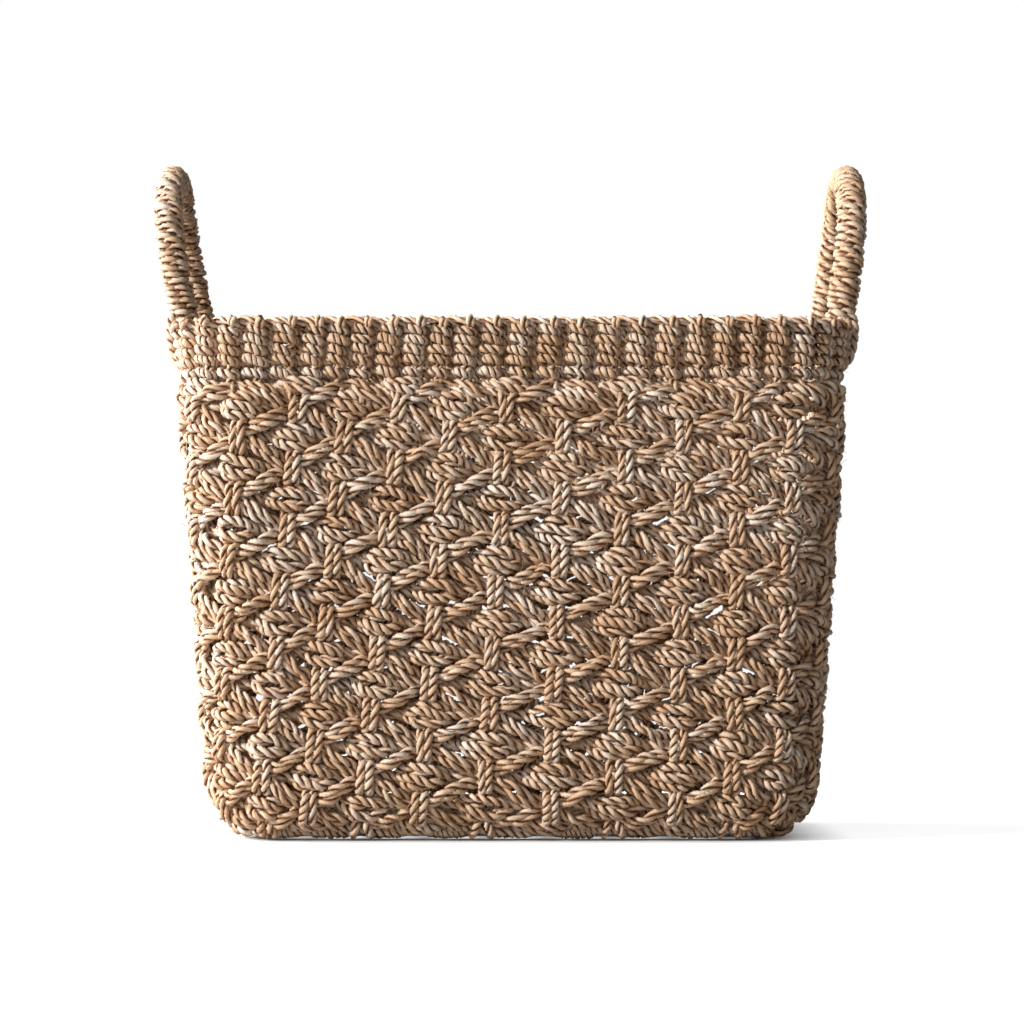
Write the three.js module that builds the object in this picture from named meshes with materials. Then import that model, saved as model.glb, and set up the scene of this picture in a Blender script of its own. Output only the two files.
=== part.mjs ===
// A hand-woven rope magazine basket with two wrapped loop handles, in millimetres, +Z up.
// The origin is on the floor under the middle of the basket. +X runs along the long sides.
// The wall and the base are one folded surface. Stake pairs run along its middle, and rows of
// cord weave round them. The middle surface has straight sides and round corners. Its profile
// is flat across the base, turns up along an arc at the edge, and then rises to the rim.

import * as THREE from "three";

// Overall sizes of the woven body, over its outside.
const rimHalfLength = 209.4;
const rimHalfDepth = 130;
const baseHalfLength = 188;
const baseHalfDepth = 113;
const rimBandTop = 312.5;
const cornerRadius = 48.4;
const edgeRadius = 34;

// Cords and clearances.
const clearance = 0.3;
const rowHalfThickness = 2.2;
const rowSwing = 6.2;
const wallHalf = rowSwing + rowHalfThickness;

// Stake pairs: two cords side by side, as one flattened hexagon.
const stakeHalfWidth = 5;
const stakeHalfThickness = 2.3;
const stakeFlatShare = 0.48;
const longSideStakes = 11;
const shortSideStakes = 6;
const stakeTipReach = 6.5;
const stakeTipHalfThickness = 2;

// Body rows, from the base edge to the rim band.
const bodyRows = 14;
const rowPitch = 18.7;
const rowGap = 0.6;
const floatGain = 0.5;
const cornerFlatHalf = 3.2;

// The twined rows of the rim band, and the border rope above them.
const rimRows = 5;
const rimRowPitch = 7;
const borderRopeRadius = 2;
const borderRopeSides = 6;

// The base: filler cords between the end-to-end stakes.
const baseFlatHalf = 5.4;
const fillerEndReach = 5.6;

// The handles, each a rope core in a wound cord.
const handleLegShare = 0.8;
const handleTop = 425;
const handleLean = 13;
const handleCoreRadius = 5;
const handleCoreSides = 8;
const handleArchSteps = 18;
const wrapOuterRadius = 8.8;
const wrapLoops = 24;
const wrapPitch = 10;
const wrapHalfWidth = 4.1;
const wrapHalfThickness = 1.4;
const wrapStepsPerLoop = 8;

// The cord tails that hold a handle's legs at the rim.
const anchorHalfWidth = 4.5;
const anchorHalfThickness = 2.3;
const anchorTail = 32;
const rowSlantShare = 1.3;

// The middle surface: half sizes of its straight parts at the floor and at the rim.
const middleCornerRadius = cornerRadius - wallHalf;
const middleEdgeRadius = edgeRadius - wallHalf;
const straightHalfLengthBase = baseHalfLength - cornerRadius;
const straightHalfLengthRim = rimHalfLength - cornerRadius;
const straightHalfDepthBase = baseHalfDepth - cornerRadius;
const straightHalfDepthRim = rimHalfDepth - cornerRadius;
const edgeReach = middleCornerRadius - middleEdgeRadius;
const arcLength = (middleEdgeRadius * Math.PI) / 2;
const bandTopTravel = arcLength + rimBandTop - edgeRadius;
const firstRimRowTravel = bandTopTravel - (rimRows - 1 / 2) * rimRowPitch;
const firstRowTravel = arcLength - middleEdgeRadius * (1 - Math.sqrt(3) / 2) - rowPitch / 2;

// Colours of the cords, from the photograph.
const cordColours = {
  row: "#b8946a",
  stake: "#c4a27a",
  rim: "#c09c72",
  base: "#a5835c",
  wrap: "#c2a078",
  core: "#8f714d",
};

function cordMaterial(kind) {
  return new THREE.MeshStandardMaterial({ color: cordColours[kind], roughness: 0.9, metalness: 0 });
}

// A place on the middle surface's profile, by the travel along it from the base's flat. The answer
// has the reach out from the straight parts' rectangle, the height, and the outward normal there.
function profileAt(travel) {
  if (travel <= 0) {
    return { reach: edgeReach + travel, height: wallHalf, outward: 0, upward: -1 };
  }
  if (travel >= arcLength) {
    const height = edgeRadius + travel - arcLength;
    return { reach: middleCornerRadius, height, outward: 1, upward: 0 };
  }
  const angle = travel / middleEdgeRadius;
  return {
    reach: edgeReach + middleEdgeRadius * Math.sin(angle),
    height: edgeRadius - middleEdgeRadius * Math.cos(angle),
    outward: Math.sin(angle),
    upward: -Math.cos(angle),
  };
}

function mix(a, b, share) {
  return a + (b - a) * share;
}

// The stations round the basket, one for each stake, from the front's left end anticlockwise as
// seen from above. Each has its shares of the straight half sizes and its outward direction.
function makeStations() {
  const stations = [];
  const sides = [
    { count: longSideStakes, start: [-1, -1], end: [1, -1], facing: -Math.PI / 2 },
    { count: shortSideStakes, start: [1, -1], end: [1, 1], facing: 0 },
    { count: longSideStakes, start: [1, 1], end: [-1, 1], facing: Math.PI / 2 },
    { count: shortSideStakes, start: [-1, 1], end: [-1, -1], facing: Math.PI },
  ];
  for (const side of sides) {
    for (let i = 0; i < side.count; i += 1) {
      const share = i / (side.count - 1);
      const atEnd = i === 0 || i === side.count - 1;
      stations.push({
        xShare: mix(side.start[0], side.end[0], share),
        yShare: mix(side.start[1], side.end[1], share),
        facing: side.facing,
        turning: atEnd,
      });
    }
    const [xShare, yShare] = side.end;
    stations.push({ xShare, yShare, facing: side.facing + Math.PI / 4, turning: true });
  }
  return stations;
}

const stations = makeStations();

// A point at a station, by its travel along the profile, its offset out of the middle surface and
// its distance along the wall to the side of the station.
function wallPoint(station, travel, offset, aside = 0) {
  const place = profileAt(travel);
  const height = place.height + offset * place.upward;
  const reach = place.reach + offset * place.outward;
  const rise = place.height / rimBandTop;
  const outX = Math.cos(station.facing);
  const outY = Math.sin(station.facing);
  const straightX = mix(straightHalfLengthBase, straightHalfLengthRim, rise);
  const straightY = mix(straightHalfDepthBase, straightHalfDepthRim, rise);
  return new THREE.Vector3(
    station.xShare * straightX + reach * outX - aside * outY,
    station.yShare * straightY + reach * outY + aside * outX,
    height,
  );
}

// The outward direction at a station, square to the middle surface.
function outwardAt(station, travel) {
  const place = profileAt(travel);
  const outX = place.outward * Math.cos(station.facing);
  const outY = place.outward * Math.sin(station.facing);
  return new THREE.Vector3(outX, outY, place.upward);
}

// A closed solid from rings of points, all with the same number of points. A run that doesn't
// close on itself gets a flat cap at each end.
function solidFromRings(rings, closed) {
  const sides = rings[0].length;
  const positions = [];
  for (const ring of rings) {
    for (const point of ring) {
      positions.push(point.x, point.y, point.z);
    }
  }
  const index = [];
  const runs = closed ? rings.length : rings.length - 1;
  for (let i = 0; i < runs; i += 1) {
    const here = i * sides;
    const next = ((i + 1) % rings.length) * sides;
    for (let j = 0; j < sides; j += 1) {
      const k = (j + 1) % sides;
      index.push(here + j, here + k, next + k);
      index.push(here + j, next + k, next + j);
    }
  }
  if (!closed) {
    const last = (rings.length - 1) * sides;
    for (let j = 1; j < sides - 1; j += 1) {
      index.push(0, j + 1, j);
      index.push(last, last + j, last + j + 1);
    }
  }
  return facingOut(positions, index);
}

// The geometry, with its faces turned over if they point inwards.
function facingOut(positions, index) {
  const corner = (i) => new THREE.Vector3().fromArray(positions, index[i] * 3);
  let volume = 0;
  for (let i = 0; i < index.length; i += 3) {
    volume += corner(i).dot(corner(i + 1).cross(corner(i + 2)));
  }
  if (volume < 0) {
    index.reverse();
  }
  const geometry = new THREE.BufferGeometry();
  geometry.setAttribute("position", new THREE.Float32BufferAttribute(positions, 3));
  geometry.setIndex(index);
  geometry.computeVertexNormals();
  return geometry;
}

const basket = new THREE.Group();

function addPiece(name, geometry, kind) {
  const mesh = new THREE.Mesh(geometry, cordMaterial(kind));
  mesh.name = name;
  basket.add(mesh);
}

// A row lies against a stake's flat with this offset.
const snugOffset = rowHalfThickness + stakeHalfThickness + clearance;

// A row of cords. Its passes say at which offset it goes by each station, and how much taller
// than halfHeight it is there.
function rowRound(centre, halfHeight, passAt) {
  const rings = [];
  stations.forEach((station, i) => {
    const { offset, gain } = passAt(station, i);
    const half = halfHeight + gain;
    const asides = station.turning ? [-cornerFlatHalf, cornerFlatHalf] : [0];
    for (const aside of asides) {
      rings.push([
        wallPoint(station, centre - half, offset - rowHalfThickness, aside),
        wallPoint(station, centre - half, offset + rowHalfThickness, aside),
        wallPoint(station, centre + half, offset + rowHalfThickness, aside),
        wallPoint(station, centre + half, offset - rowHalfThickness, aside),
      ]);
    }
  });
  return solidFromRings(rings, true);
}

// A row that weaves round every stake. Where it passes outside, its float is a little taller, and
// where it passes inside, its neck is as much lower, so that the rows above and below nest.
function wovenRow(centre, halfHeight, gain, parity) {
  return rowRound(centre, halfHeight, (station, i) => {
    const side = (i + parity) % 2 === 0 ? 1 : -1;
    return { offset: side * (station.turning ? snugOffset : rowSwing), gain: side * gain };
  });
}

function addRows() {
  const half = (rowPitch - rowGap) / 2;
  for (let k = 0; k < bodyRows; k += 1) {
    const centre = firstRowTravel + k * rowPitch;
    addPiece(`body_weft_row_${k + 1}`, wovenRow(centre, half, floatGain, k + 1), "row");
  }
  const edgeTop = firstRowTravel - half - floatGain - rowGap;
  const edgeCentre = (edgeTop + clearance) / 2;
  const outside = () => ({ offset: snugOffset, gain: 0 });
  addPiece("base_edge_row", rowRound(edgeCentre, edgeCentre - clearance, outside), "row");
  const rimHalf = (rimRowPitch - clearance) / 2;
  for (let k = 0; k < rimRows; k += 1) {
    const centre = firstRimRowTravel + k * rimRowPitch;
    addPiece(`rim_twined_row_${k + 1}`, wovenRow(centre, rimHalf, 0, k), "rim");
  }
}

// The border rope lies on the rim band, outside the stakes.
const borderOffset = stakeHalfThickness + clearance + borderRopeRadius;
const borderTravel = bandTopTravel + clearance + borderRopeRadius;

function borderRope() {
  const rings = [];
  for (const station of stations) {
    const asides = station.turning ? [-stakeHalfWidth, stakeHalfWidth] : [0];
    for (const aside of asides) {
      const ring = [];
      for (let j = 0; j < borderRopeSides; j += 1) {
        const angle = (2 * Math.PI * (j + 1 / 2)) / borderRopeSides;
        const travel = borderTravel + borderRopeRadius * Math.sin(angle);
        const offset = borderOffset + borderRopeRadius * Math.cos(angle);
        ring.push(wallPoint(station, travel, offset, aside));
      }
      rings.push(ring);
    }
  }
  return solidFromRings(rings, true);
}

// The six corners of a cord pair's section, by a centre, the direction along its width and the
// direction through its thickness.
function pairSection(centre, along, through, halfWidth, halfThickness) {
  const flat = halfWidth * stakeFlatShare;
  const corners = [
    [-halfWidth, 0],
    [-flat, -halfThickness],
    [flat, -halfThickness],
    [halfWidth, 0],
    [flat, halfThickness],
    [-flat, halfThickness],
  ];
  return corners.map(([w, t]) => centre.clone().addScaledVector(along, w).addScaledVector(through, t));
}

// A stake's rings up the wall at one station, from the base's flat to its tip, which folds out
// over the border rope.
function stakeWallRings(station) {
  const along = new THREE.Vector3(-Math.sin(station.facing), Math.cos(station.facing), 0);
  const rings = [];
  const travels = [
    0,
    firstRowTravel - rowPitch / 2,
    firstRowTravel + rowPitch / 2,
    firstRowTravel + rowPitch * (1 + 1 / 2),
    bandTopTravel,
  ];
  for (const travel of travels) {
    const centre = wallPoint(station, travel, 0);
    const through = outwardAt(station, travel);
    rings.push(pairSection(centre, along, through, stakeHalfWidth, stakeHalfThickness));
  }
  const down = new THREE.Vector3(0, 0, -1);
  const tipTravel = borderTravel + borderRopeRadius + clearance + stakeTipHalfThickness;
  const bendCentre = wallPoint(station, tipTravel - stakeTipHalfThickness / 2, 0);
  const slant = outwardAt(station, tipTravel).add(down).normalize();
  rings.push(pairSection(bendCentre, along, slant, stakeHalfWidth, stakeTipHalfThickness));
  const tipCentre = wallPoint(station, tipTravel, stakeTipReach);
  rings.push(pairSection(tipCentre, along, down, stakeHalfWidth, stakeTipHalfThickness));
  return rings;
}

// A stake pair from the front rim, down, across the base and up to the back rim.
function addFrontToBackStakes() {
  for (let i = 0; i < longSideStakes; i += 1) {
    const xShare = mix(-1, 1, i / (longSideStakes - 1));
    const front = stakeWallRings({ xShare, yShare: -1, facing: -Math.PI / 2 });
    const back = stakeWallRings({ xShare, yShare: 1, facing: Math.PI / 2 });
    const rings = front.reverse().concat(back.map(turnedSection));
    addPiece(`front_to_back_stakes_${i + 1}`, solidFromRings(rings, false), "stake");
  }
}

// The same section with its points listed from the other side, for a run that meets its
// counterpart from the opposite wall.
function turnedSection(ring) {
  return [ring[3], ring[2], ring[1], ring[0], ring[5], ring[4]];
}

// The straight half sizes of the middle surface at the base's own height.
const baseRise = wallHalf / rimBandTop;
const baseStraightHalfLength = mix(straightHalfLengthBase, straightHalfLengthRim, baseRise);
const baseStraightHalfDepth = mix(straightHalfDepthBase, straightHalfDepthRim, baseRise);
const shortSidePitch = (2 * baseStraightHalfDepth) / (shortSideStakes - 1);

// The places of a base cord that passes over and under the front-to-back stakes in turn.
function baseWave(halfFlat, parity) {
  const places = [];
  for (let i = 0; i < longSideStakes; i += 1) {
    const x = mix(-1, 1, i / (longSideStakes - 1)) * baseStraightHalfLength;
    const side = (i + parity) % 2 === 0 ? 1 : -1;
    const height = wallHalf + side * rowSwing;
    places.push([x - halfFlat, height], [x + halfFlat, height]);
  }
  return places;
}

// A stake pair from the left rim, down, woven across the base and up to the right rim.
function addEndToEndStakes() {
  const along = new THREE.Vector3(0, 1, 0);
  const through = new THREE.Vector3(0, 0, -1);
  for (let j = 0; j < shortSideStakes; j += 1) {
    const yShare = mix(-1, 1, j / (shortSideStakes - 1));
    const left = stakeWallRings({ xShare: -1, yShare, facing: Math.PI }).reverse().map(turnedSection);
    const right = stakeWallRings({ xShare: 1, yShare, facing: 0 });
    const woven = baseWave(cornerFlatHalf, 0).map(([x, z]) => {
      const centre = new THREE.Vector3(x, yShare * baseStraightHalfDepth, z);
      return pairSection(centre, along, through, stakeHalfWidth, rowHalfThickness);
    });
    const rings = left.concat(woven, right);
    addPiece(`end_to_end_stakes_${j + 1}`, solidFromRings(rings, false), "stake");
  }
}

function addCornerStakes() {
  const names = ["front_right", "back_right", "back_left", "front_left"];
  const corners = stations.filter((station) => Math.abs(Math.sin(2 * station.facing)) > 1 / 2);
  corners.forEach((station, i) => {
    addPiece(`corner_stakes_${names[i]}`, solidFromRings(stakeWallRings(station), false), "stake");
  });
}

// Flat filler cords between the end-to-end stakes, which the basket rests on.
function addBaseFillers() {
  const halfWidth = shortSidePitch / 2 - stakeHalfWidth - clearance;
  for (let j = 0; j < shortSideStakes - 1; j += 1) {
    const y = -baseStraightHalfDepth + (j + 1 / 2) * shortSidePitch;
    const places = baseWave(baseFlatHalf, 1);
    places[0][0] = -baseStraightHalfLength - fillerEndReach;
    places[places.length - 1][0] = baseStraightHalfLength + fillerEndReach;
    const rings = places.map(([x, z]) => [
      new THREE.Vector3(x, y - halfWidth, z - rowHalfThickness),
      new THREE.Vector3(x, y + halfWidth, z - rowHalfThickness),
      new THREE.Vector3(x, y + halfWidth, z + rowHalfThickness),
      new THREE.Vector3(x, y - halfWidth, z + rowHalfThickness),
    ]);
    addPiece(`base_filler_${j + 1}`, solidFromRings(rings, false), "base");
  }
}

// The anchors' path over the border rope and down the outside of the rim band.
const anchorTopHeight =
  rimBandTop + 2 * (clearance + borderRopeRadius) + clearance + anchorHalfThickness;
const anchorOutsideRope = borderOffset + borderRopeRadius + clearance + anchorHalfThickness;
const legHalfSpacing = handleLegShare * straightHalfDepthRim;
const rowSlope = (rowSwing * (shortSideStakes - 1)) / straightHalfDepthRim;
const rowAtAnchor = anchorHalfWidth * rowSlope + rowHalfThickness * rowSlantShare;
const anchorOutsideRows = rowAtAnchor + clearance + anchorHalfThickness;

function anchorGeometry(side, legSide) {
  const along = new THREE.Vector3(0, 1, 0);
  const y = legSide * legHalfSpacing;
  const taper = straightHalfLengthRim - straightHalfLengthBase;
  const wallX = straightHalfLengthRim + middleCornerRadius;
  const shoulder = anchorHalfThickness;
  const places = [
    [-shoulder, anchorTopHeight, 0, -1],
    [anchorOutsideRope - shoulder, anchorTopHeight, 0, -1],
    [anchorOutsideRope, anchorTopHeight - shoulder, -1, 0],
    [anchorOutsideRope, rimBandTop, -1, 0],
    [anchorOutsideRows, rimBandTop - shoulder * 2, -1, 0],
    [anchorOutsideRows, rimBandTop - anchorTail, -1, 0],
  ];
  const rings = places.map(([offset, height, throughOut, throughUp]) => {
    const settle = Math.max(0, ((rimBandTop - height) / rimBandTop) * taper);
    const centre = new THREE.Vector3(side * (wallX + offset - settle), y, height);
    const through = new THREE.Vector3(side * throughOut, 0, throughUp);
    return pairSection(centre, along, through, anchorHalfWidth, anchorHalfThickness);
  });
  return solidFromRings(rings, false);
}

// The handle's middle line, by a share of its length from the front leg's foot to the back leg's.
const handleFootHeight = anchorTopHeight + anchorHalfThickness + clearance + handleCoreRadius;
const archTopHeight = handleTop - wrapOuterRadius;
const legLength = archTopHeight - handleFootHeight - legHalfSpacing;
const archLength = Math.PI * legHalfSpacing;
const handleLength = archLength + 2 * legLength;

function handlePoint(side, share) {
  const travel = share * handleLength;
  let y = -legHalfSpacing;
  let rise = travel;
  if (travel > legLength + archLength) {
    y = legHalfSpacing;
    rise = handleLength - travel;
  } else if (travel > legLength) {
    const angle = (travel - legLength) / legHalfSpacing;
    y = -legHalfSpacing * Math.cos(angle);
    rise = legLength + legHalfSpacing * Math.sin(angle);
  }
  const bow = Math.sin(((rise / (legLength + legHalfSpacing)) * Math.PI) / 2);
  const x = straightHalfLengthRim + middleCornerRadius + handleLean * bow;
  return new THREE.Vector3(side * x, y, handleFootHeight + rise);
}

// The directions at a place on the handle: along it, out from the basket and in its own plane.
const tangentStepShare = 0.005;

function handleAcross(side, share) {
  const ahead = handlePoint(side, Math.min(1, share + tangentStepShare));
  const behind = handlePoint(side, Math.max(0, share - tangentStepShare));
  const tangent = ahead.sub(behind).normalize();
  const outward = new THREE.Vector3(side, 0, 0);
  outward.addScaledVector(tangent, -outward.dot(tangent)).normalize();
  const inPlane = new THREE.Vector3().crossVectors(tangent, outward);
  return { tangent, outward, inPlane };
}

function roundRing(centre, first, second, radius, sides) {
  const ring = [];
  for (let j = 0; j < sides; j += 1) {
    const angle = (2 * Math.PI * j) / sides;
    const point = centre.clone();
    point.addScaledVector(first, radius * Math.cos(angle));
    point.addScaledVector(second, radius * Math.sin(angle));
    ring.push(point);
  }
  return ring;
}

// The core's two feet are rounded, so that a foot turns in place as the handle flexes.
const footShares = [0.94, 0.64];

// One foot's rings, from its end inwards. The end looks back along the handle or ahead.
function footRings(side, end, ahead) {
  const { tangent, outward, inPlane } = handleAcross(side, end);
  return footShares.map((share) => {
    const centre = handlePoint(side, end).addScaledVector(tangent, ahead * handleCoreRadius * share);
    const radius = handleCoreRadius * Math.sqrt(1 - share * share);
    return roundRing(centre, outward, inPlane, radius, handleCoreSides);
  });
}

function handleCoreGeometry(side) {
  const rings = footRings(side, 0, -1);
  for (let i = 0; i <= handleArchSteps; i += 1) {
    const share = i / handleArchSteps;
    const { outward, inPlane } = handleAcross(side, share);
    rings.push(roundRing(handlePoint(side, share), outward, inPlane, handleCoreRadius, handleCoreSides));
  }
  return solidFromRings(rings.concat(footRings(side, 1, 1).reverse()), false);
}

// The corners of the wound cord pair's section, flat on the core and crowned outside.
const wrapSectionShares = [
  [-1, -1],
  [1, -1],
  [1, 0.3],
  [0, 1],
  [-1, 0.3],
];

// A cord pair wound round the core as one unbroken tube.
function wrapGeometry(side) {
  const winding = wrapOuterRadius - wrapHalfThickness;
  const steps = wrapLoops * wrapStepsPerLoop;
  const start = (1 - (wrapLoops * wrapPitch) / handleLength) / 2;
  const rings = [];
  for (let i = 0; i <= steps; i += 1) {
    const share = start + (i / steps) * (1 - 2 * start);
    const angle = (2 * Math.PI * i) / wrapStepsPerLoop;
    const { tangent, outward, inPlane } = handleAcross(side, share);
    const radial = new THREE.Vector3();
    radial.addScaledVector(outward, Math.cos(angle)).addScaledVector(inPlane, Math.sin(angle));
    const centre = handlePoint(side, share).addScaledVector(radial, winding);
    const ring = wrapSectionShares.map(([w, t]) => {
      const point = centre.clone();
      point.addScaledVector(tangent, w * wrapHalfWidth);
      return point.addScaledVector(radial, t * wrapHalfThickness);
    });
    rings.push(ring);
  }
  return { geometry: solidFromRings(rings, false), rings };
}

// The least gap from the wound tube to itself, between points at least half a loop apart.
function leastSelfGap(rings) {
  let least = Infinity;
  const apart = Math.round(wrapStepsPerLoop * (1 / 2 + 1 / 4));
  const reach = wrapStepsPerLoop * 2;
  rings.forEach((ring, i) => {
    for (let k = i + apart; k < Math.min(rings.length, i + reach); k += 1) {
      for (const a of ring) {
        for (const b of rings[k]) {
          least = Math.min(least, a.distanceTo(b));
        }
      }
    }
  });
  return least;
}

function addHandles() {
  for (const [name, side] of [["left", -1], ["right", 1]]) {
    addPiece(`handle_core_${name}`, handleCoreGeometry(side), "core");
    const { geometry, rings } = wrapGeometry(side);
    addPiece(`handle_wrap_${name}`, geometry, "wrap");
    console.log(`handle_wrap_${name}: least gap to itself ${leastSelfGap(rings).toFixed(2)} mm`);
    for (const [leg, legSide] of [["front", -1], ["back", 1]]) {
      addPiece(`handle_anchor_${name}_${leg}`, anchorGeometry(side, legSide), "wrap");
    }
  }
}

addRows();
addPiece("border_rope", borderRope(), "rim");
addFrontToBackStakes();
addEndToEndStakes();
addCornerStakes();
addBaseFillers();
addHandles();

export default basket;
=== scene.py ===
"""A hand-woven rope magazine basket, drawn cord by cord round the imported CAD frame."""

import math

import bpy
import numpy as np
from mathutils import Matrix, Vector


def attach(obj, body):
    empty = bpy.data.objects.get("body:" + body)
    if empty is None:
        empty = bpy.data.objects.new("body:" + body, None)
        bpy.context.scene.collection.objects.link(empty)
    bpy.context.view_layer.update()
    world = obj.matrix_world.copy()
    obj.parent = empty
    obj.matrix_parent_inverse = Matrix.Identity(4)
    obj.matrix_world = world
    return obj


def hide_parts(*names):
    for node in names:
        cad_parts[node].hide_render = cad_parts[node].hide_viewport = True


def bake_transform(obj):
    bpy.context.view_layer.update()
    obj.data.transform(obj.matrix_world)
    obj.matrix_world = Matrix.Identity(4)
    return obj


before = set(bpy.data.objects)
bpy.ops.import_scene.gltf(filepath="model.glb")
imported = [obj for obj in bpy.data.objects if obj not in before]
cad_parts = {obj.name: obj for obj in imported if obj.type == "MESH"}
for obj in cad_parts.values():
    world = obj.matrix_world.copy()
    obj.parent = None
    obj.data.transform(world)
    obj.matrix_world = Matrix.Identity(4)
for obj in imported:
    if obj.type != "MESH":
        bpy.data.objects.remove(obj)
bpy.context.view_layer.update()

# Real sizes of the woven body, in metres, and its counts, as in the CAD part.
RIM_HALF_LENGTH = 0.2094
RIM_HALF_DEPTH = 0.130
BASE_HALF_LENGTH = 0.188
BASE_HALF_DEPTH = 0.113
RIM_BAND_TOP = 0.3125
CORNER_RADIUS = 0.0484
EDGE_RADIUS = 0.034
WALL_HALF = 0.0084
ROW_PITCH = 0.0187
BODY_ROWS = 14
LONG_SIDE_STAKES = 11
SHORT_SIDE_STAKES = 6
CORNER_STAKES = 4
COLUMNS = 2 * (LONG_SIDE_STAKES + SHORT_SIDE_STAKES) + CORNER_STAKES

# Columns are counted from the front's left stake pair, counterclockwise as seen from above.
RIGHT_FIRST_COLUMN = LONG_SIDE_STAKES + 1
BACK_LAST_COLUMN = RIGHT_FIRST_COLUMN + SHORT_SIDE_STAKES + LONG_SIDE_STAKES
LEFT_LAST_COLUMN = COLUMNS - 2
CORNER_COLUMNS = {
    "front_right": LONG_SIDE_STAKES,
    "back_right": RIGHT_FIRST_COLUMN + SHORT_SIDE_STAKES,
    "back_left": BACK_LAST_COLUMN + 1,
    "front_left": COLUMNS - 1,
}

# The cord: its plies, and the length of one full turn of its twist. Waves are in radians a metre.
CORD_RADIUS = 0.0029
CORD_TURN = 0.0142
CORD_SPREAD_SHARES = (0.94, 1.06)
TURN_SPREAD_SHARES = (0.88, 1.14)
TWIST_DRIFT_SHARE = 0.22
PLIES = 2
PLY_HELIX_SHARE = 0.5
PLY_RADIUS_SHARE = 0.56
PLY_WIDTH_SHARE = 1.12
PLY_SPREAD_SHARES = (0.93, 1.06)
PLY_TONE_SHARE = 0.24
END_RADIUS_SHARE = 0.35
SWELL_SHARE = 0.06
SWELL_WAVES = (60, 130)
STREAK_SHIFT = 9.0
PLY_SIDES = 6
STEPS_PER_TURN = 6

# The fewest steps of a path, and a length that keeps a direction from a division by zero.
LEAST_STEPS = 4
LEAST_LENGTH = 1e-9

# Places of the front's stake pairs in the photograph, across at the rim and near the base.
PHOTO_MIDDLE_PX = 512
PHOTO_EYE_PX = 621.3
PHOTO_SIZE_PX = 1024
METRES_PER_PX = 0.0006
RIM_COLUMNS_PX = (240, 297, 346, 399, 450, 506, 565, 627, 686, 742, 793)
BASE_COLUMNS_PX = (215, 263, 311, 365, 422, 486, 552, 616, 679, 735, 783)
RIM_COLUMNS_HEIGHT = 0.26
BASE_COLUMNS_HEIGHT = 0.05

# The photograph's camera.
CAMERA_DISTANCE = 2.0
EYE_HEIGHT = 0.1342
SENSOR_WIDTH_MM = 36

# The floats: bundles of weft cords that bulge between the stitches, on every row.
STEPS_PER_COLUMN = 28
CORD_DRIFT = 0.0008
DRIFT_WAVES = (17, 29, 43, 71)
END_ROW_SHARE = 0.78
BUNDLE_CORDS = 4
BUNDLE_TURNS = 9
FLOAT_SHARE = -0.26
FLOAT_SHARPNESS = 1.45
NECK_HALF_HEIGHT = 0.0009
FLOAT_HALF_HEIGHT = 0.0061
NECK_HALF_DEPTH = 0.0025
FLOAT_HALF_DEPTH = 0.0026
NECK_OFFSET = -0.0048
FLOAT_OFFSET = 0.0032
TOP_FLOAT_SHARE = 0.6
TOP_FLOAT_DROP = 0.0030
EDGE_FLOAT_SHARE = 0.6

# The zigzag cords, whose arms rise and fall between the stitches of one row and the next.
STITCH_SHARE = 0.136
RISE_START = 0.0040
RISE_END = 0.0026
FALL_START = 0.0025
FALL_END = 0.0021
ARM_RADIUS = 0.0027
ARM_NECK = 0.0043
RISING_SPACING = 0.0042
FALLING_SPACING = 0.0050
ARM_TUCK_OFFSET = -0.0016
ARM_OFFSET = 0.0054
ARM_SHARPNESS = 1.35
ARM_LEAN_SHARE = 0.08
ARM_LAY = 0.8
ARM_DEPTH = 0.0012
RISING_UNTWIST_SHARE = 0.3
FALLING_UNTWIST_SHARE = 0.25
CORNER_SMOOTHING_SHARE = 0.07
CORNER_SAMPLES = 5

# The twined rows of the rim, the border and the base's edge. Periods and shifts are in columns.
TWINE_RADIUS = 0.0027
TWINE_DRIFT = 0.0005
TWINE_TURN = 0.0086
TWINE_GAP_SHARE = 0.38
TWINE_RISE_SHARE = 0.4
TWINE_DEPTH = 0.0037
TWINE_DIP = 0.0052
TWINE_SLIP_SHARE = 0.03
TWINE_SHIFT_SHARE = 0.08
TWINE_LIFT = 0.0016
RIM_PERIOD_SHARE = 0.5
RIM_ROW_HEIGHTS = (0.2842, 0.2918, 0.2979, 0.3039, 0.3098)
RIM_ROW_OFFSETS = (-0.0006, 0.0006, 0.0012, 0.0014, 0.0014)
BORDER_HEIGHT = 0.3146
BORDER_RADIUS = 0.0023
BORDER_TURN = 0.022
BORDER_OFFSET = 0.0008
BORDER_DEPTH = 0.0030
BORDER_DIP = 0.0010
EDGE_PERIOD_SHARE = 1
BASE_EDGE_TRAVELS = (-0.0040, 0.0022, 0.0078)
BASE_EDGE_DEPTH = 0.0014
BASE_EDGE_LIFT = 0.0020
BASE_EDGE_OFFSET = 0.0036

# The stakes: pairs of cords in the body, single cords in the rim band, tips over the border.
STAKE_STEP = 0.0015
STAKE_SPACING = 0.0049
STAKE_FRONT_OFFSET = 0.0068
STAKE_BACK_OFFSET = -0.0050
STITCH_SHARPNESS = 1.3
STAKE_RADIUS = 0.0027
STAKE_TURN = 0.0140
STAKE_WANDER = 0.0005
SWAY_WAVES = (50, 140)
SPLIT_START = 0.004
SPLIT_LENGTH = 0.0095
SPREAD_START = 0.0190
SPREAD_LENGTH = 0.0120
BASE_SPACING = 0.0100
RIM_SPACING = 0.01625
STAKE_TIP = ((0.3120, 0.0002), (0.3146, 0.0012), (0.3163, 0.0034), (0.3160, 0.0062), (0.3138, 0.0078),
             (0.3108, 0.0074))
TIP_DRIFT = 0.0008
TIP_UNTWIST_SHARE = 0.6
TIP_PHASES = (0.4, 1.3)
TIP_FOOT = 0.3110
TIP_REACH = 0.0020
STAKE_ROUNDINGS = 2
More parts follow.
